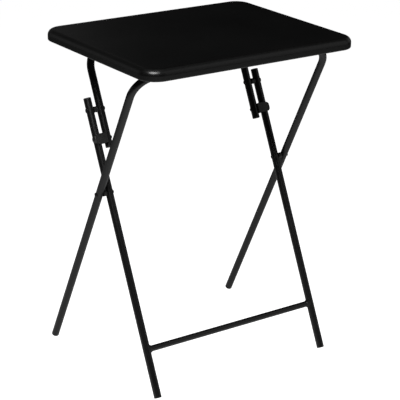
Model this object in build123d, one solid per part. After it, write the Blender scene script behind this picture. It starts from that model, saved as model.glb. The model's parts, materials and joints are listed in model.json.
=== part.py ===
"""Folding tray table on two crossed pairs of tube legs.

Axes: X along the long side of the tray, Y from the front edge to the rear edge, Z up.
The origin is on the floor, under the middle of the tray.

The outer frame is one bent tube. Its crossbar lies under the front of the tray and its feet
stand at the rear. Two inner legs cross it, with their feet at the front and a stretcher between
them. The bail is a second bent tube. Its crossbar turns under the rear of the tray, and its arms
are pivoted on the upper ends of the inner legs and held against them by two latch hooks.
"""
from build123d import *
import math
import os

# Overall size, in millimetres
TOP_WIDTH = 482.6
TOP_DEPTH = 381.0
TOP_THICKNESS = 22.2
TABLE_HEIGHT = 660.0

# Tray board
TOP_CORNER_RADIUS = 36.0
TOP_EDGE_RADIUS = 12.0
BOTTOM_EDGE_RADIUS = 3.0
FOIL_THICKNESS = 0.5

# Legs, seen from the side: leans are from the vertical, in degrees
OUTER_LEAN = 25.9
INNER_LEAN = 25.55
CROSS_Y = 4.7
CROSS_Z = 369.3
CROSSBAR_DROP = 10.8
INNER_LEG_TOP_Z = 537.5
BAIL_END_Z = 445.8
STRETCHER_Z = 88.4
LATCH_Z = 463.3

# Legs, seen from the front: distance of each tube's centre line from the middle
OUTER_X = 224.2
INNER_X = 201.7
BAIL_X = 178.0

# Tubes and their end plugs
TUBE_RADIUS = 7.5
TUBE_WALL = 1.0
OUTER_BEND_RADIUS = 40.5
BAIL_BEND_RADIUS = 48.0
STRETCHER_RADIUS = 6.0
WELD_RADIUS = 8.2
WELD_LENGTH = 4.5
WELD_BACK = 3.0
WELD_INSET = 0.5
WELD_LIP = 0.1
LEG_CUTTER_LENGTH = 40.0
PLUG_FLANGE = 2.5
PLUG_STEM = 12.0
PLUG_STEM_CHAMFER = 1.0
PLUG_ROUNDING = 0.8

# Rivets, spacers and clearances
RIVET_RADIUS = 2.5
RIVET_FIT = 0.05
RIVET_HEAD_RADIUS = 4.6
RIVET_HEAD_HEIGHT = 1.1
DOME_SHARE = 0.8
SPACER_RADIUS = 6.0
GAP = 0.3
CUT_MARGIN = 1.0

# Latch hooks
HOOK_WALL = 2.4
HOOK_HEIGHT = 20.0
HOOK_CORNER_RADIUS = 3.0
HOOK_SEAT_DEPTH = 3.0
HOOK_PAD_REAR = 7.0
HOOK_RECESS_DEPTH = 2.2
LATCH_RIVET_RADIUS = 2.0
LATCH_HEAD_RADIUS = 3.8
LATCH_OUTER_HEAD_HEIGHT = 2.5
LATCH_SUNK_HEAD_HEIGHT = 1.7

# Brackets under the tray, and their screws
BRACKET_WIDTH = 30.0
BRACKET_WALL = 3.0
FLANGE_REACH = 24.0
FLANGE_THICKNESS = 3.0
FLANGE_CORNER_RADIUS = 5.0
FRONT_BRACKET_X = 115.0
REAR_BRACKET_X = 90.0
FRONT_BAR_CLEARANCE = 0.3
FRONT_LIP_END = 2.0
REAR_LIP_END = -4.0
SCREW_OFFSET = 17.5
SCREW_RADIUS = 1.9
SCREW_HOLE_RADIUS = 2.1
SCREW_HEAD_RADIUS = 3.8
SCREW_HEAD_HEIGHT = 2.2
SCREW_DEPTH = 12.0
SCREW_POINT = 1.3
SCREW_SLOT = (4.4, 0.9, 1.2)

# Derived places
outer_lean = math.radians(OUTER_LEAN)
inner_lean = math.radians(INNER_LEAN)
underside_z = TABLE_HEIGHT - TOP_THICKNESS
bar_z = underside_z - CROSSBAR_DROP
front_bar_y = CROSS_Y - (bar_z - CROSS_Z) * math.tan(outer_lean)
rear_bar_y = CROSS_Y + (bar_z - CROSS_Z) * math.tan(inner_lean)

# Lengths along the leg lines, measured up from the crossing pivot. With this bail length, the
# upper inner leg and the outer frame differ by as much as the tray and the bail do, so the four
# links fold flat into one plane.
outer_bar = (bar_z - CROSS_Z) / math.cos(outer_lean)
inner_bar = (bar_z - CROSS_Z) / math.cos(inner_lean)
bail_length = (inner_bar + rear_bar_y - front_bar_y - outer_bar) / 2
bail_pivot = inner_bar - bail_length
inner_top = (INNER_LEG_TOP_Z - CROSS_Z) / math.cos(inner_lean)
bail_end = (BAIL_END_Z - CROSS_Z) / math.cos(inner_lean)
stretcher = (STRETCHER_Z - CROSS_Z) / math.cos(inner_lean)
latch = (LATCH_Z - CROSS_Z) / math.cos(inner_lean)


def foot_end(lean):
    """Distance from the crossing pivot to a foot whose lowest edge touches the floor."""
    rise = (TUBE_RADIUS - PLUG_ROUNDING) * math.sin(lean) + PLUG_ROUNDING * (1 - math.cos(lean))
    return (rise - CROSS_Z) / math.cos(lean)


# Each leg line is a plane with its local Z up along the legs and its origin at the crossing pivot
crossing = (0, CROSS_Y, CROSS_Z)
outer_line = Plane(crossing, x_dir=(1, 0, 0), z_dir=(0, -math.sin(outer_lean), math.cos(outer_lean)))
inner_line = Plane(crossing, x_dir=(1, 0, 0), z_dir=(0, math.sin(inner_lean), math.cos(inner_lean)))

SIDES = {"left": -1, "right": 1}


def rod(radius, start, end, z, y=0.0):
    """Cylinder along X from start to end, at height z in its plane."""
    middle = (start + end) / 2
    return Pos(middle, y, z) * Cylinder(radius, abs(end - start), rotation=(0, 90, 0))


def straight_tube(x, start, end):
    """Hollow leg along local Z."""
    ring = Circle(TUBE_RADIUS) - Circle(TUBE_RADIUS - TUBE_WALL)
    return Pos(x, 0, start) * extrude(ring, end - start)


def bent_tube(half_width, end, bar, bend_radius):
    """Hollow U tube in the local XZ plane, with its crossbar at the top."""
    path = FilletPolyline(
        (-half_width, 0, end),
        (-half_width, 0, bar),
        (half_width, 0, bar),
        (half_width, 0, end),
        radius=bend_radius,
    )
    start = Plane((-half_width, 0, end), x_dir=(1, 0, 0), z_dir=(0, 0, 1))
    ring = start * (Circle(TUBE_RADIUS) - Circle(TUBE_RADIUS - TUBE_WALL))
    return sweep(ring, path=path)


def end_plug(x, z, up):
    """Plastic plug flush with the tube, its outer face at z; up is True at an upper end."""
    flange = Pos(0, 0, PLUG_FLANGE / 2) * Cylinder(TUBE_RADIUS, PLUG_FLANGE)
    flange = fillet(flange.edges().sort_by(Axis.Z)[0], PLUG_ROUNDING)
    stem_radius = TUBE_RADIUS - TUBE_WALL
    stem = Pos(0, 0, PLUG_FLANGE + PLUG_STEM / 2) * Cylinder(stem_radius, PLUG_STEM)
    stem = chamfer(stem.edges().sort_by(Axis.Z)[-1], PLUG_STEM_CHAMFER)
    turn = Rot(X=180) if up else Rot()
    return Pos(x, 0, z) * turn * (flange + stem)


def domed_head(radius, height):
    """Rivet or screw head standing on the XY plane."""
    head = Pos(0, 0, height / 2) * Cylinder(radius, height)
    return fillet(head.edges().sort_by(Axis.Z)[-1], height * DOME_SHARE)


def rivet(radius, head_radius, start_height, end_height, start, end, z):
    """Rivet along X, its two heads of the given heights standing outside start and end."""
    solid = rod(radius, start, end, z)
    for face, height, out in ((start, start_height, start - end), (end, end_height, end - start)):
        turn = Rot(Y=math.copysign(90, out))
        solid += Pos(face, 0, z) * turn * domed_head(head_radius, height)
    return solid


def pivot_rivet(start, end, z):
    """Rivet of a pivot between two tubes."""
    return rivet(
        RIVET_RADIUS, RIVET_HEAD_RADIUS, RIVET_HEAD_HEIGHT, RIVET_HEAD_HEIGHT, start, end, z
    )


def spacer(start, end, z):
    """Round spacer on a rivet."""
    return rod(SPACER_RADIUS, start, end, z) - rod(RIVET_RADIUS + RIVET_FIT, start, end, z)


def rivet_hole(x, z, radius=RIVET_RADIUS):
    """Cutter for a rivet hole through both walls of the tube at x."""
    reach = TUBE_RADIUS + CUT_MARGIN
    return rod(radius + RIVET_FIT, x - reach, x + reach, z)


def make_outer_frame():
    """Bent tube with rear feet, pierced at the crossing pivot."""
    foot = foot_end(outer_lean)
    tube = bent_tube(OUTER_X, foot + PLUG_FLANGE, outer_bar, OUTER_BEND_RADIUS)
    parts = {}
    for side, sign in SIDES.items():
        tube -= rivet_hole(sign * OUTER_X, 0)
        parts[f"outer_frame_{side}_foot"] = end_plug(sign * OUTER_X, foot, up=False)
    parts["outer_frame_tube"] = tube
    return {name: outer_line * part for name, part in parts.items()}


def leg_cutter(sign):
    """Stretch of an inner leg that the stretcher and its weld end against."""
    return Pos(sign * INNER_X, 0, stretcher) * Cylinder(TUBE_RADIUS, LEG_CUTTER_LENGTH)


def weld_flare(sign):
    """Flared weld where the stretcher meets a leg."""
    back = INNER_X - TUBE_RADIUS + WELD_BACK
    wide = Plane((sign * back, 0, stretcher), x_dir=(0, 1, 0), z_dir=(-sign, 0, 0))
    thin = wide.offset(WELD_BACK + WELD_LENGTH)
    flare = loft([
        wide * Ellipse(TUBE_RADIUS - WELD_INSET, WELD_RADIUS),
        thin * Circle(STRETCHER_RADIUS + WELD_LIP),
    ])
    return flare - leg_cutter(sign) - rod(STRETCHER_RADIUS, 0, sign * INNER_X, stretcher)


def make_inner_legs():
    """Two straight legs, their stretcher, plugs, rivets and spacers."""
    foot = foot_end(inner_lean)
    bore = STRETCHER_RADIUS - TUBE_WALL
    bar = rod(STRETCHER_RADIUS, -INNER_X, INNER_X, stretcher) - rod(bore, -INNER_X, INNER_X, stretcher)
    inner_face = INNER_X - TUBE_RADIUS
    outer_face = INNER_X + TUBE_RADIUS
    parts = {}
    for side, sign in SIDES.items():
        leg = straight_tube(sign * INNER_X, foot + PLUG_FLANGE, inner_top - PLUG_FLANGE)
        leg -= rivet_hole(sign * INNER_X, 0)
        leg -= rivet_hole(sign * INNER_X, bail_pivot)
        bar -= leg_cutter(sign)
        parts[f"inner_leg_{side}"] = leg
        parts[f"inner_leg_{side}_foot"] = end_plug(sign * INNER_X, foot, up=False)
        parts[f"inner_leg_{side}_top_plug"] = end_plug(sign * INNER_X, inner_top, up=True)
        parts[f"stretcher_weld_{side}"] = weld_flare(sign)
        parts[f"crossing_rivet_{side}"] = pivot_rivet(
            sign * inner_face, sign * (OUTER_X + TUBE_RADIUS + GAP), 0
        )
        parts[f"crossing_spacer_{side}"] = spacer(
            sign * outer_face, sign * (OUTER_X - TUBE_RADIUS - GAP), 0
        )
        parts[f"bail_rivet_{side}"] = pivot_rivet(
            sign * (BAIL_X - TUBE_RADIUS - GAP), sign * outer_face, bail_pivot
        )
        parts[f"bail_spacer_{side}"] = spacer(
            sign * (BAIL_X + TUBE_RADIUS + GAP), sign * inner_face, bail_pivot
        )
    parts["leg_stretcher"] = bar
    return {name: inner_line * part for name, part in parts.items()}


def latch_hook():
    """Plastic hook for the right-hand side, around the front of the inner leg.

    It is drawn at the height of the latch, in the plane of the inner legs, where local -Y is the
    front. It is a flat plate in front of the leg with a pad between the two tubes and a short lip
    outside the leg. Seen from the front, its outer end is a half circle.
    """
    channel = TUBE_RADIUS + GAP
    front = channel + HOOK_WALL
    seat = BAIL_X + TUBE_RADIUS - HOOK_SEAT_DEPTH
    tip = INNER_X + front
    plate = Pos((seat + tip) / 2, -front / 2) * Rectangle(tip - seat, front)
    corner = plate.vertices().sort_by(Axis.Y)[:2].sort_by(Axis.X)[-1]
    plate = fillet(corner, HOOK_CORNER_RADIUS)
    pad_face = INNER_X - channel
    pad = Pos((seat + pad_face) / 2, HOOK_PAD_REAR / 2) * Rectangle(pad_face - seat, HOOK_PAD_REAR)
    section = plate + pad - Pos(BAIL_X, 0) * Circle(TUBE_RADIUS) - Pos(INNER_X, 0) * Circle(channel)
    block = extrude(section, HOOK_HEIGHT / 2, both=True)
    end_centre = tip - HOOK_HEIGHT / 2
    face = Pos(end_centre, 0) * Circle(HOOK_HEIGHT / 2)
    face += Pos((end_centre + BAIL_X) / 2, 0) * Rectangle(end_centre - BAIL_X, HOOK_HEIGHT)
    outline = extrude(Plane.XZ * face, 2 * front, both=True)
    hook = Pos(0, 0, latch) * (block & outline)
    recess = rod(LATCH_HEAD_RADIUS + GAP, pad_face - HOOK_RECESS_DEPTH, INNER_X, latch)
    return hook - recess - rivet_hole((seat + pad_face) / 2, latch, LATCH_RIVET_RADIUS)


def make_bail():
    """Bent tube that carries the rear of the tray, with its plugs and latch hooks."""
    tube = bent_tube(BAIL_X, bail_end + PLUG_FLANGE, inner_bar, BAIL_BEND_RADIUS)
    hook = latch_hook()
    inner_face = BAIL_X - TUBE_RADIUS
    recess_floor = INNER_X - TUBE_RADIUS - GAP - HOOK_RECESS_DEPTH
    parts = {}
    for side, sign in SIDES.items():
        tube -= rivet_hole(sign * BAIL_X, bail_pivot)
        tube -= rivet_hole(sign * BAIL_X, latch, LATCH_RIVET_RADIUS)
        parts[f"bail_{side}_end_plug"] = end_plug(sign * BAIL_X, bail_end, up=False)
        parts[f"latch_hook_{side}"] = hook if sign > 0 else mirror(hook, Plane.YZ)
        parts[f"latch_rivet_{side}"] = rivet(
            LATCH_RIVET_RADIUS, LATCH_HEAD_RADIUS, LATCH_OUTER_HEAD_HEIGHT, LATCH_SUNK_HEAD_HEIGHT,
            sign * inner_face, sign * recess_floor, latch,
        )
    parts["bail_tube"] = tube
    return {name: inner_line * part for name, part in parts.items()}


def board(inset, bottom, top):
    """Tray board, smaller all round by inset, with its edges rounded to match."""
    outline = RectangleRounded(
        TOP_WIDTH - 2 * inset, TOP_DEPTH - 2 * inset, TOP_CORNER_RADIUS - inset
    )
    solid = Pos(0, 0, bottom) * extrude(outline, top - bottom)
    solid = fillet(solid.faces().sort_by(Axis.Z)[-1].edges(), TOP_EDGE_RADIUS - inset)
    return fillet(solid.faces().sort_by(Axis.Z)[0].edges(), BOTTOM_EDGE_RADIUS - inset)


def bracket_section(bore, lip):
    """Flange against the board with a round body of the given lip height about the crossbar.

    It is drawn with the crossbar's centre at its origin, X to the rear and Y up.
    """
    outer = bore + BRACKET_WALL
    flange_y = CROSSBAR_DROP - FLANGE_THICKNESS / 2
    section = Pos(0, flange_y) * Rectangle(2 * FLANGE_REACH, FLANGE_THICKNESS)
    section += Circle(outer)
    section += Pos(0, CROSSBAR_DROP / 2) * Rectangle(2 * outer, CROSSBAR_DROP)
    section &= Pos(0, (CROSSBAR_DROP + lip) / 2) * Rectangle(2 * FLANGE_REACH, CROSSBAR_DROP - lip)
    return section - Circle(bore)


def front_bracket():
    """Hook bracket over the outer frame's crossbar, open below and to the front."""
    bore = TUBE_RADIUS + FRONT_BAR_CLEARANCE
    outer = bore + BRACKET_WALL
    section = bracket_section(bore, REAR_LIP_END)
    section -= Pos(-outer, FRONT_LIP_END - outer) * Rectangle(2 * outer, 2 * outer)
    return section - Pos(bore / 2, -bore / 2) * Rectangle(bore, bore)


def rear_bracket():
    """Closed saddle in which the bail's crossbar turns."""
    bore = TUBE_RADIUS + RIVET_FIT
    return bracket_section(bore, -bore - BRACKET_WALL)


def bracket(section, x, y):
    """Bracket extruded along X about a crossbar at y, with round corners and two screw holes."""
    plane = Plane((x, y, bar_z), x_dir=(0, 1, 0), z_dir=(1, 0, 0))
    solid = extrude(plane * section, BRACKET_WIDTH / 2, both=True)
    outline = RectangleRounded(BRACKET_WIDTH, 2 * FLANGE_REACH, FLANGE_CORNER_RADIUS)
    solid &= Pos(x, y, bar_z - FLANGE_REACH) * extrude(outline, 2 * FLANGE_REACH)
    for offset in (-SCREW_OFFSET, SCREW_OFFSET):
        solid -= Pos(x, y + offset, underside_z) * Cylinder(SCREW_HOLE_RADIUS, 4 * FLANGE_THICKNESS)
    return solid


def bracket_screw(x, y):
    """Pan head wood screw driven up through a bracket flange."""
    seat = underside_z - FLANGE_THICKNESS
    length = FLANGE_THICKNESS + SCREW_DEPTH
    shank = Pos(0, 0, length / 2) * Cylinder(SCREW_RADIUS, length)
    shank = chamfer(shank.edges().sort_by(Axis.Z)[-1], SCREW_POINT)
    head = Rot(X=180) * domed_head(SCREW_HEAD_RADIUS, SCREW_HEAD_HEIGHT)
    for angle in (0, 90):
        slot = Box(*SCREW_SLOT, rotation=(0, 0, angle))
        head -= Pos(0, 0, SCREW_SLOT[2] / 2 - SCREW_HEAD_HEIGHT) * slot
    return Pos(x, y, seat) * (shank + head)


def make_tray():
    """Board with its foil and backing sheet, the four brackets and their screws."""
    core = board(FOIL_THICKNESS, underside_z + FOIL_THICKNESS, TABLE_HEIGHT - FOIL_THICKNESS)
    shell = board(0, underside_z, TABLE_HEIGHT) - core
    flat = RectangleRounded(
        TOP_WIDTH - 2 * BOTTOM_EDGE_RADIUS,
        TOP_DEPTH - 2 * BOTTOM_EDGE_RADIUS,
        TOP_CORNER_RADIUS - BOTTOM_EDGE_RADIUS,
    )
    backing = Pos(0, 0, underside_z) * extrude(flat, FOIL_THICKNESS)
    foil = shell - backing
    parts = {}
    rows = {
        "front": (front_bracket(), FRONT_BRACKET_X, front_bar_y),
        "rear": (rear_bracket(), REAR_BRACKET_X, rear_bar_y),
    }
    for row, (section, x, y) in rows.items():
        screws = []
        for side, sign in SIDES.items():
            parts[f"{row}_bracket_{side}"] = bracket(section, sign * x, y)
            for offset in (-SCREW_OFFSET, SCREW_OFFSET):
                screws.append(bracket_screw(sign * x, y + offset))
                pilot = Pos(sign * x, y + offset, underside_z) * Cylinder(SCREW_RADIUS, 2 * SCREW_DEPTH)
                core -= pilot
                backing -= pilot
        parts[f"{row}_bracket_screws"] = Compound(screws)
    parts["tray_core"] = core
    parts["tray_foil"] = foil
    parts["tray_backing"] = backing
    return parts


os.makedirs("parts", exist_ok=True)
for group in (make_outer_frame(), make_inner_legs(), make_bail(), make_tray()):
    for name, part in group.items():
        export_step(part, f"parts/{name}.step")
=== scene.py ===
"""Folding tray table: looks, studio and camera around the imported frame."""
import json
import math

import bpy
from mathutils import Matrix, Vector


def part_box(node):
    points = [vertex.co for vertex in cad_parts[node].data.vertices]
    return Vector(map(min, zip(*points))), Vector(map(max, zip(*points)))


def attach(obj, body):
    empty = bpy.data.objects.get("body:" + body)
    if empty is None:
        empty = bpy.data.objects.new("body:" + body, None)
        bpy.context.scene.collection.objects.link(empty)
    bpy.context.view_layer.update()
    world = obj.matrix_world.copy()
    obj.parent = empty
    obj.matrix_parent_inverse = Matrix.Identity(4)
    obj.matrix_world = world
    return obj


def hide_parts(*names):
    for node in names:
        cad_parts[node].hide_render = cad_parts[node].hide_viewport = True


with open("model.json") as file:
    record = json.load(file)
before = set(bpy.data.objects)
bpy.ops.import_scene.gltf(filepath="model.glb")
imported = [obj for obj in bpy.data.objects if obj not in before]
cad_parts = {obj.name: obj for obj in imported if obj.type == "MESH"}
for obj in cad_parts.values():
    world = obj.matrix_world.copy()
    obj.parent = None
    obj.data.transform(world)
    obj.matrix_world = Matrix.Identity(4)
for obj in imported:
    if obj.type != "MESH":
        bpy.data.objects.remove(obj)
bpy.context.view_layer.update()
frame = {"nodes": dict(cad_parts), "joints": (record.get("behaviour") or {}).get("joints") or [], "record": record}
nodes = frame["nodes"]

# Camera, solved for a picture 400 pixels square
CAMERA_TARGET = Vector((0.00634, -0.00499, 0.31471))
CAMERA_DISTANCE = 3.018
CAMERA_AZIMUTH = math.radians(-35.61)
CAMERA_ELEVATION = math.radians(20.50)
CAMERA_ROLL = math.radians(1.173)
CAMERA_LENS = 135.36
SENSOR_WIDTH = 36.0

# Lines of the legs, from the joints: the outer frame folds onto the inner legs
joints = {joint["name"]: joint for joint in frame["joints"]}
CROSSING = Vector(joints["legs_fold"]["pos_m"])
INNER_LINE = (Vector(joints["bail_fold"]["pos_m"]) - CROSSING).normalized()
FOLD_ANGLE = -math.radians(joints["legs_fold"]["range_deg"][0])
OUTER_LINE = Matrix.Rotation(FOLD_ANGLE, 3, "X") @ INNER_LINE
SIDES = {"left": -1, "right": 1}

# Sizes of the small pieces, in metres
TUBE_RADIUS = 0.0075
TUBE_BORE = 0.0065
BAR_RADIUS = 0.006
PLUG_LENGTH = 0.0145
PLUG_CAP = 0.0025
PLUG_GROOVE = 0.0006
PLUG_DIMPLE = 0.0005
HEAD = 0.0011
RIVET_SHANK = 0.0025
LATCH_HEAD = 0.0025
LATCH_SHANK = 0.0020
LATCH_TAIL = 0.0017
SPACER_CHAMFER = 0.0004
SPACER_WAIST = 0.0003

# Weld beads: an oval foot on the leg that flares down to the stretcher, with ripples round it
WELD_HALF_WIDTH = 0.0070
WELD_HALF_HEIGHT = 0.0083
WELD_LENGTH = 0.0042
WELD_OVERLAP = 0.0012
WELD_LIP = 0.0004
WELD_FLARE = 1.5
WELD_SWELL = 0.0002
WELD_RIPPLE = 0.00035
WELD_RIPPLES = 26
WELD_WAVE = 0.0003
WELD_SLANT = 2.5
WELD_STEPS = 208
WELD_ROWS = 9

# Turned shapes and rounded edges
LATHE_STEPS = 64
EDGE_SEGMENTS = 3
SHARP_ANGLE = math.radians(35)
PLUG_EDGE = 0.00015
RIVET_EDGE = 0.00008
SPACER_EDGE = 0.0001
HOOK_EDGE = 0.0006
BRACKET_EDGE = 0.0005
FACE_GAP = 0.00001

# Span of a noise value that ramp() uses
NOISE_LOW = 0.3
NOISE_HIGH = 0.7

# Studio
STUDIO_RADIUS = 12.0
LIT_FLOOR_CENTRE = (-0.3, -0.8, 0.0)
LIT_FLOOR_RADIUS = 4.0
LIT_FLOOR_GLOW = 0.78
ROOM_SHADE = 0.006


def make_camera():
    """Camera at the front left, looking down on the table."""
    flat = math.cos(CAMERA_ELEVATION)
    back = Vector((
        math.sin(CAMERA_AZIMUTH) * flat,
        -math.cos(CAMERA_AZIMUTH) * flat,
        math.sin(CAMERA_ELEVATION),
    ))
    right = Vector((0, 0, 1)).cross(back).normalized()
    up = back.cross(right)
    cosine, sine = math.cos(CAMERA_ROLL), math.sin(CAMERA_ROLL)
    right, up = right * cosine + up * sine, up * cosine - right * sine
    data = bpy.data.cameras.new("camera")
    data.lens = CAMERA_LENS
    data.sensor_width = SENSOR_WIDTH
    camera = bpy.data.objects.new("camera", data)
    place = Matrix((right, up, back)).transposed().to_4x4()
    place.translation = CAMERA_TARGET + back * CAMERA_DISTANCE
    camera.matrix_world = place
    bpy.context.scene.collection.objects.link(camera)
    bpy.context.scene.camera = camera


def new_material(name, base=(0.01, 0.01, 0.01), roughness=0.4):
    """Material, node tree, shader and object coordinates; linked inputs override these two values."""
    material = bpy.data.materials.new(name)
    material.use_nodes = True
    shader = material.node_tree.nodes["Principled BSDF"]
    shader.inputs["Base Color"].default_value = (*base, 1)
    shader.inputs["Roughness"].default_value = roughness
    coordinates = material.node_tree.nodes.new("ShaderNodeTexCoord")
    return material, material.node_tree, shader, coordinates.outputs["Object"]


def noise(tree, vector, scale, detail):
    """Noise texture that repeats about scale times a metre."""
    node = tree.nodes.new("ShaderNodeTexNoise")
    node.inputs["Scale"].default_value = scale
    node.inputs["Detail"].default_value = detail
    tree.links.new(vector, node.inputs["Vector"])
    return node.outputs["Fac"]


def ramp(tree, value, low, high):
    """Maps a noise value onto the range from low to high."""
    node = tree.nodes.new("ShaderNodeMapRange")
    node.inputs["From Min"].default_value = NOISE_LOW
    node.inputs["From Max"].default_value = NOISE_HIGH
    node.inputs["To Min"].default_value = low
    node.inputs["To Max"].default_value = high
    tree.links.new(value, node.inputs["Value"])
    return node.outputs["Result"]


def tint(tree, shader, value, dark, light):
    """Base colour between dark and light."""
    node = tree.nodes.new("ShaderNodeMix")
    node.data_type = "RGBA"
    node.inputs["A"].default_value = (*dark, 1)
    node.inputs["B"].default_value = (*light, 1)
    tree.links.new(value, node.inputs["Factor"])
    tree.links.new(node.outputs["Result"], shader.inputs["Base Color"])


def bump(tree, shader, height, strength, distance):
    """Adds a bump to the shader, on top of any that it has."""
    node = tree.nodes.new("ShaderNodeBump")
    node.inputs["Strength"].default_value = strength
    node.inputs["Distance"].default_value = distance
    tree.links.new(height, node.inputs["Height"])
    normal = shader.inputs["Normal"]
    if normal.is_linked:
        tree.links.new(normal.links[0].from_socket, node.inputs["Normal"])
    tree.links.new(node.outputs["Normal"], normal)


def paint_material():
    """Satin black powder coat with a slight orange peel."""
    material, tree, shader, place = new_material("powder_coat")
    peel = noise(tree, place, 700, 2)
    cloud = noise(tree, place, 14, 4)
    tint(tree, shader, cloud, (0.0040, 0.0040, 0.0041), (0.0070, 0.0070, 0.0071))
    tree.links.new(ramp(tree, cloud, 0.28, 0.35), shader.inputs["Roughness"])
    bump(tree, shader, peel, 0.10, 0.00010)
    return material


def foil_material():
    """Black foil with a very fine grain."""
    material, tree, shader, place = new_material("tray_foil")
    grain = noise(tree, place, 2600, 2)
    wave = noise(tree, place, 30, 3)
    cloud = noise(tree, place, 7, 5)
    tint(tree, shader, cloud, (0.0016, 0.0016, 0.0016), (0.0030, 0.0030, 0.0030))
    tree.links.new(ramp(tree, cloud, 0.32, 0.38), shader.inputs["Roughness"])
    bump(tree, shader, grain, 0.4, 0.00008)
    bump(tree, shader, wave, 0.1, 0.0002)
    return material


def plastic_material(name, shade, roughness, grain_scale=1800):
    """Moulded black plastic with an eroded mould texture."""
    material, tree, shader, place = new_material(name)
    grain = noise(tree, place, grain_scale, 3)
    cloud = noise(tree, place, 60, 3)
    tint(tree, shader, cloud, (shade * 0.8,) * 3, (shade * 1.25,) * 3)
    tree.links.new(ramp(tree, cloud, roughness - 0.05, roughness + 0.06), shader.inputs["Roughness"])
    bump(tree, shader, grain, 0.3, 0.00006)
    return material


def steel_material():
    """Blackened steel of the rivets and screws."""
    material, tree, shader, place = new_material("black_steel")
    shader.inputs["Metallic"].default_value = 0.6
    cloud = noise(tree, place, 300, 3)
    tint(tree, shader, cloud, (0.015, 0.015, 0.016), (0.035, 0.035, 0.036))
    tree.links.new(ramp(tree, cloud, 0.28, 0.42), shader.inputs["Roughness"])
    return material


def board_material():
    """Raw fibreboard of the hidden core."""
    material, tree, shader, place = new_material("fibreboard", (0.32, 0.22, 0.13), 0.8)
    fibre = noise(tree, place, 700, 4)
    tint(tree, shader, fibre, (0.27, 0.18, 0.10), (0.40, 0.29, 0.18))
    bump(tree, shader, fibre, 0.3, 0.0002)
    return material


MATERIALS = {
    "frame_paint": paint_material(),
    "tray_foil": foil_material(),
    "backing_paper": plastic_material("backing_paper", 0.014, 0.7, 900),
    "end_plug_plastic": plastic_material("end_plug_plastic", 0.014, 0.5),
    "spacer_nylon": plastic_material("spacer_nylon", 0.012, 0.45),
    "latch_plastic": plastic_material("latch_plastic", 0.014, 0.42),
    "bracket_plastic": plastic_material("bracket_plastic", 0.014, 0.5),
    "rivet_steel": steel_material(),
    "fibreboard": board_material(),
}
MATERIALS["screw_steel"] = MATERIALS["rivet_steel"]


def mesh_piece(name, vertices, faces, body, slot, stands_for):
    """Smooth-shaded mesh object that rides on a body and stands for a CAD node."""
    mesh = bpy.data.meshes.new(name)
    mesh.from_pydata(vertices, [], faces)
    mesh.validate()
    for polygon in mesh.polygons:
        polygon.use_smooth = True
    mesh.materials.append(MATERIALS[slot])
    piece = bpy.data.objects.new(name, mesh)
    bpy.context.scene.collection.objects.link(piece)
    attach(piece, body)
    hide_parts(stands_for)
    return piece


def soften(piece, width):
    """Rounds the sharp edges of a piece."""
    bevel = piece.modifiers.new("soft_edges", "BEVEL")
    bevel.width = width
    bevel.segments = EDGE_SEGMENTS
    bevel.limit_method = "ANGLE"
    bevel.angle_limit = SHARP_ANGLE
    bevel.harden_normals = True
    bevel.use_clamp_overlap = True


def round_nodes(names, width):
    """Joins the faces of moulded CAD nodes and rounds their edges."""
    for name in names:
        weld = nodes[name].modifiers.new("join_faces", "WELD")
        weld.merge_threshold = FACE_GAP
        soften(nodes[name], width)


def lathe(name, profile, start, axis, body, slot, stands_for, edge):
    """Solid of revolution: profile holds (distance along the axis, radius) pairs from end to end."""
    side = axis.orthogonal().normalized()
    other = axis.cross(side)
    turn = [2 * math.pi * k / LATHE_STEPS for k in range(LATHE_STEPS)]
    vertices = []
    for distance, radius in profile:
        centre = start + axis * distance
        vertices += [centre + (side * math.cos(a) + other * math.sin(a)) * radius for a in turn]
    faces = []
    for ring in range(len(profile) - 1):
        low, high = ring * LATHE_STEPS, (ring + 1) * LATHE_STEPS
        for k in range(LATHE_STEPS):
            after = (k + 1) % LATHE_STEPS
            faces.append((low + k, low + after, high + after, high + k))
    last = (len(profile) - 1) * LATHE_STEPS
    faces.append(tuple(reversed(range(LATHE_STEPS))))
    faces.append(tuple(range(last, last + LATHE_STEPS)))
    soften(mesh_piece(name, vertices, faces, body, slot, stands_for), edge)


def reach(node, direction):
    """Lowest and highest distance of a CAD node along a direction."""
    places = [vertex.co.dot(direction) for vertex in nodes[node].data.vertices]
    return min(places), max(places)


def middle_x(node):
    """Middle of a CAD node along X."""
    low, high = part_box(node)
    return (low[0] + high[0]) / 2


def outward(node):
    """1 for a piece on the table's right half, and -1 on its left half."""
    return 1 if middle_x(node) > 0 else -1


def pin_frame(node, sign):
    """Start, axis, length and radius of a round CAD node that runs along X, towards sign."""
    low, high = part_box(node)
    length = high[0] - low[0]
    middle = [(a + b) / 2 for a, b in zip(low, high)]
    start = Vector((middle[0] - sign * length / 2, middle[1], middle[2]))
    return start, Vector((sign, 0, 0)), length, (high[2] - low[2]) / 2


def on_line(x, direction, distance):
    """Point of a leg's axis at a distance along its direction, at the given x."""
    foot = Vector((0, *CROSSING[1:]))
    place = foot + direction * (distance - foot.dot(direction))
    return Vector((x, place.y, place.z))


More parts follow.
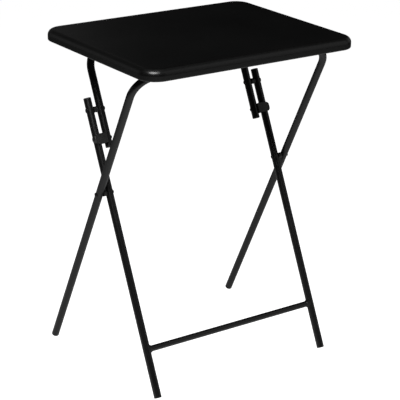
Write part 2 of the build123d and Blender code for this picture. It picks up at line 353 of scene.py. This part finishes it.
def make_plug(node, direction, body, facing):
    """End plug with a shallow dimple; facing is 1 at an upper end and -1 at a foot."""
    low, high = reach(node, direction)
    end = high if facing > 0 else low
    axis = direction * facing
    start = on_line(middle_x(node), direction, end) - axis * PLUG_LENGTH
    shoulder = PLUG_LENGTH - PLUG_CAP
    profile = [
        (0, TUBE_BORE * 0.92),
        (0.001, TUBE_BORE),
        (shoulder - 0.0002, TUBE_BORE),
        (shoulder - 0.0002, TUBE_RADIUS - PLUG_GROOVE),
        (shoulder + 0.0001, TUBE_RADIUS - PLUG_GROOVE),
        (shoulder + 0.0001, TUBE_RADIUS),
        (PLUG_LENGTH - 0.0010, TUBE_RADIUS),
        (PLUG_LENGTH - 0.0004, TUBE_RADIUS - 0.0003),
        (PLUG_LENGTH, TUBE_RADIUS - 0.0011),
        (PLUG_LENGTH, TUBE_RADIUS * 0.52),
        (PLUG_LENGTH - PLUG_DIMPLE, TUBE_RADIUS * 0.48),
        (PLUG_LENGTH - PLUG_DIMPLE, 0.0010),
        (PLUG_LENGTH - 0.0002, 0.0008),
        (PLUG_LENGTH - 0.0002, 0.0003),
    ]
    lathe(f"{node}_cap", profile, start, axis, body, "end_plug_plastic", node, PLUG_EDGE)


def make_rivet(node, body):
    """Pivot rivet with a domed outer head and a rolled inner end."""
    start, axis, length, radius = pin_frame(node, outward(node))
    profile = [
        (0.0009, 0.0006),
        (0.0009, radius * 0.30),
        (0.0002, radius * 0.38),
        (0, radius * 0.55),
        (0.0001, radius * 0.74),
        (0.0005, radius * 0.86),
        (HEAD, radius * 0.88),
        (HEAD, RIVET_SHANK),
        (length - HEAD, RIVET_SHANK),
        (length - HEAD, radius),
        (length - HEAD * 0.72, radius),
        (length - HEAD * 0.38, radius * 0.86),
        (length - HEAD * 0.12, radius * 0.58),
        (length - HEAD * 0.01, radius * 0.28),
        (length, radius * 0.06),
    ]
    lathe(f"{node}_pin", profile, start, axis, body, "rivet_steel", node, RIVET_EDGE)


def make_latch_rivet(node):
    """Rivet of a latch hook, with a tall round head on the bail's inner side."""
    start, axis, length, radius = pin_frame(node, -outward(node))
    profile = [
        (0, radius * 0.4),
        (0.0005, radius * 0.8),
        (0.0010, radius),
        (LATCH_TAIL, radius),
        (LATCH_TAIL, LATCH_SHANK),
        (length - LATCH_HEAD, LATCH_SHANK),
        (length - LATCH_HEAD, radius),
        (length - LATCH_HEAD + 0.0006, radius),
        (length - LATCH_HEAD + 0.0006, radius * 0.86),
        (length - LATCH_HEAD * 0.45, radius * 0.80),
        (length - LATCH_HEAD * 0.18, radius * 0.62),
        (length - LATCH_HEAD * 0.03, radius * 0.34),
        (length, radius * 0.08),
    ]
    lathe(f"{node}_pin", profile, start, axis, "bail", "rivet_steel", node, RIVET_EDGE)


def make_spacer(node, body):
    """Nylon spacer with a waist and chamfered ends."""
    start, axis, length, radius = pin_frame(node, 1)
    profile = [
        (0, RIVET_SHANK * 1.02),
        (0, radius - SPACER_CHAMFER),
        (SPACER_CHAMFER, radius),
        (length * 0.30, radius),
        (length * 0.34, radius - SPACER_WAIST),
        (length * 0.66, radius - SPACER_WAIST),
        (length * 0.70, radius),
        (length - SPACER_CHAMFER, radius),
        (length, radius - SPACER_CHAMFER),
        (length, RIVET_SHANK * 1.02),
    ]
    lathe(f"{node}_sleeve", profile, start, axis, body, "spacer_nylon", node, SPACER_EDGE)


def weld_loop(angle):
    """Section of a weld bead at an angle, as (distance from the leg's axis, radius) pairs round it."""
    foot = 1 / math.hypot(math.cos(angle) / WELD_HALF_WIDTH, math.sin(angle) / WELD_HALF_HEIGHT)
    foot_reach = math.sqrt(TUBE_RADIUS**2 - (foot * math.cos(angle)) ** 2)
    top_reach = TUBE_RADIUS + WELD_LENGTH
    ripple = WELD_RIPPLE * abs(math.sin(angle * WELD_RIPPLES / 2))
    loop = [(foot_reach - WELD_OVERLAP, foot - WELD_LIP)]
    for row in range(WELD_ROWS):
        t = row / (WELD_ROWS - 1)
        bulge = math.sin(math.pi * t)
        flare = (BAR_RADIUS - foot) * (1 - (1 - t) ** WELD_FLARE)
        wave = WELD_WAVE * bulge * math.sin(angle * WELD_RIPPLES + WELD_SLANT * t)
        distance = foot_reach + (top_reach - foot_reach) * t + wave
        loop.append((distance, foot + flare + (WELD_SWELL + ripple) * bulge))
    loop.append((top_reach, BAR_RADIUS - WELD_LIP))
    loop.append((foot_reach - WELD_OVERLAP, BAR_RADIUS - WELD_LIP))
    return loop


def make_weld(node, side):
    """Rippled weld bead where the stretcher meets a leg; side is -1 on the left."""
    bar_low, bar_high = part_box("leg_stretcher")
    leg_x = middle_x(f"inner_leg_{'right' if side > 0 else 'left'}")
    bar = Vector((leg_x, (bar_low[1] + bar_high[1]) / 2, (bar_low[2] + bar_high[2]) / 2))
    across = Vector((-side, 0, 0))
    front = INNER_LINE.cross(Vector((1, 0, 0)))
    vertices, faces = [], []
    for step in range(WELD_STEPS):
        angle = 2 * math.pi * step / WELD_STEPS
        out = front * math.cos(angle) + INNER_LINE * math.sin(angle)
        loop = weld_loop(angle)
        size = len(loop)
        vertices += [bar + across * distance + out * radius for distance, radius in loop]
        here, there = step * size, (step + 1) % WELD_STEPS * size
        for k in range(size):
            after = (k + 1) % size
            faces.append((here + k, here + after, there + after, there + k))
    mesh_piece(f"{node}_bead", vertices, faces, "inner_legs", "frame_paint", node)


def make_pieces():
    """Detailed pieces in place of the plain plugs, rivets, spacers and welds."""
    for name, side in SIDES.items():
        make_plug(f"inner_leg_{name}_foot", INNER_LINE, "inner_legs", -1)
        make_plug(f"inner_leg_{name}_top_plug", INNER_LINE, "inner_legs", 1)
        make_plug(f"outer_frame_{name}_foot", OUTER_LINE, "outer_frame", -1)
        make_plug(f"bail_{name}_end_plug", INNER_LINE, "bail", -1)
        make_rivet(f"crossing_rivet_{name}", "inner_legs")
        make_rivet(f"bail_rivet_{name}", "inner_legs")
        make_latch_rivet(f"latch_rivet_{name}")
        make_spacer(f"crossing_spacer_{name}", "inner_legs")
        make_spacer(f"bail_spacer_{name}", "inner_legs")
        make_weld(f"stretcher_weld_{name}", side)
    round_nodes([f"latch_hook_{name}" for name in SIDES], HOOK_EDGE)
    round_nodes([f"{row}_bracket_{name}" for row in ("front", "rear") for name in SIDES], BRACKET_EDGE)


def dress_nodes():
    """Gives every CAD node the material of its slot."""
    for row in frame["record"]["subparts"]:
        mesh = nodes[row["node"]].data
        mesh.materials.clear()
        mesh.materials.append(MATERIALS[row["material_slot"]])


def glowing_stage(piece, name, glow):
    """Names a glowing part of the studio and gives it its glowing material; gives back its node tree, shader and
    coordinates.
    """
    material, tree, shader, place = new_material(name, (0.8, 0.8, 0.8), 0.9)
    shader.inputs["Emission Color"].default_value = (1, 1, 1, 1)
    shader.inputs["Emission Strength"].default_value = glow
    piece.name = name
    piece.data.materials.append(material)
    return tree, shader, place


def make_stage():
    """White floor and backdrop for the camera, and a dark room with a lit stretch of floor."""
    bpy.ops.mesh.primitive_plane_add(size=2 * STUDIO_RADIUS)
    floor = bpy.context.object
    bpy.ops.mesh.primitive_uv_sphere_add(segments=64, ring_count=32, radius=STUDIO_RADIUS)
    backdrop = bpy.context.object
    for piece, name in ((floor, "floor"), (backdrop, "backdrop")):
        glowing_stage(piece, name, 1.0)
        piece.visible_diffuse = False
        piece.visible_glossy = False
        piece.visible_shadow = False

    bpy.ops.mesh.primitive_plane_add(size=2, location=LIT_FLOOR_CENTRE)
    lit_floor = bpy.context.object
    lit_floor.scale = (LIT_FLOOR_RADIUS,) * 3
    lit_floor.visible_camera = False
    tree, shader, place = glowing_stage(lit_floor, "lit_floor", LIT_FLOOR_GLOW)
    fade = tree.nodes.new("ShaderNodeTexGradient")
    fade.gradient_type = "QUADRATIC_SPHERE"
    tree.links.new(place, fade.inputs["Vector"])
    tree.links.new(fade.outputs["Color"], shader.inputs["Emission Color"])
    shader.inputs["Base Color"].default_value = (0, 0, 0, 1)

    world = bpy.data.worlds.new("room")
    world.use_nodes = True
    world.node_tree.nodes["Background"].inputs["Color"].default_value = (*(ROOM_SHADE,) * 3, 1)
    bpy.context.scene.world = world


def area_light(name, place, aim, size, power):
    """Rectangular soft box at place, turned towards aim."""
    data = bpy.data.lights.new(name, "AREA")
    data.shape = "RECTANGLE"
    data.size, data.size_y = size
    data.energy = power
    light = bpy.data.objects.new(name, data)
    light.location = place
    light.rotation_euler = (Vector(aim) - Vector(place)).to_track_quat("-Z", "Y").to_euler()
    bpy.context.scene.collection.objects.link(light)


def make_lights():
    """Bright key high on the left, and dim panels above, behind and on the right."""
    area_light("key", (-1.20, -1.26, 2.62), (-0.2, -0.2, 0.6), (1.4, 0.8), 70)
    area_light("top", (0.2, 0.3, 3.4), (0, 0, 0.6), (2.6, 2.2), 3.2)
    area_light("rear", (0.2, 3.5, 1.6), (0, 0, 0.6), (3.2, 2.0), 1.3)
    area_light("rear_left", (-2.3, 3.0, 1.2), (0, 0, 0.6), (1.8, 2.2), 2.3)
    area_light("right", (3.2, 0.4, 1.3), (0, 0, 0.5), (2.0, 1.6), 2.6)
    area_light("fill", (2.1, -2.0, 2.0), (0, 0, 0.5), (2.4, 3.6), 8.5)


make_camera()
dress_nodes()
make_pieces()
make_stage()
make_lights()
bpy.context.scene.view_settings.view_transform = "Standard"
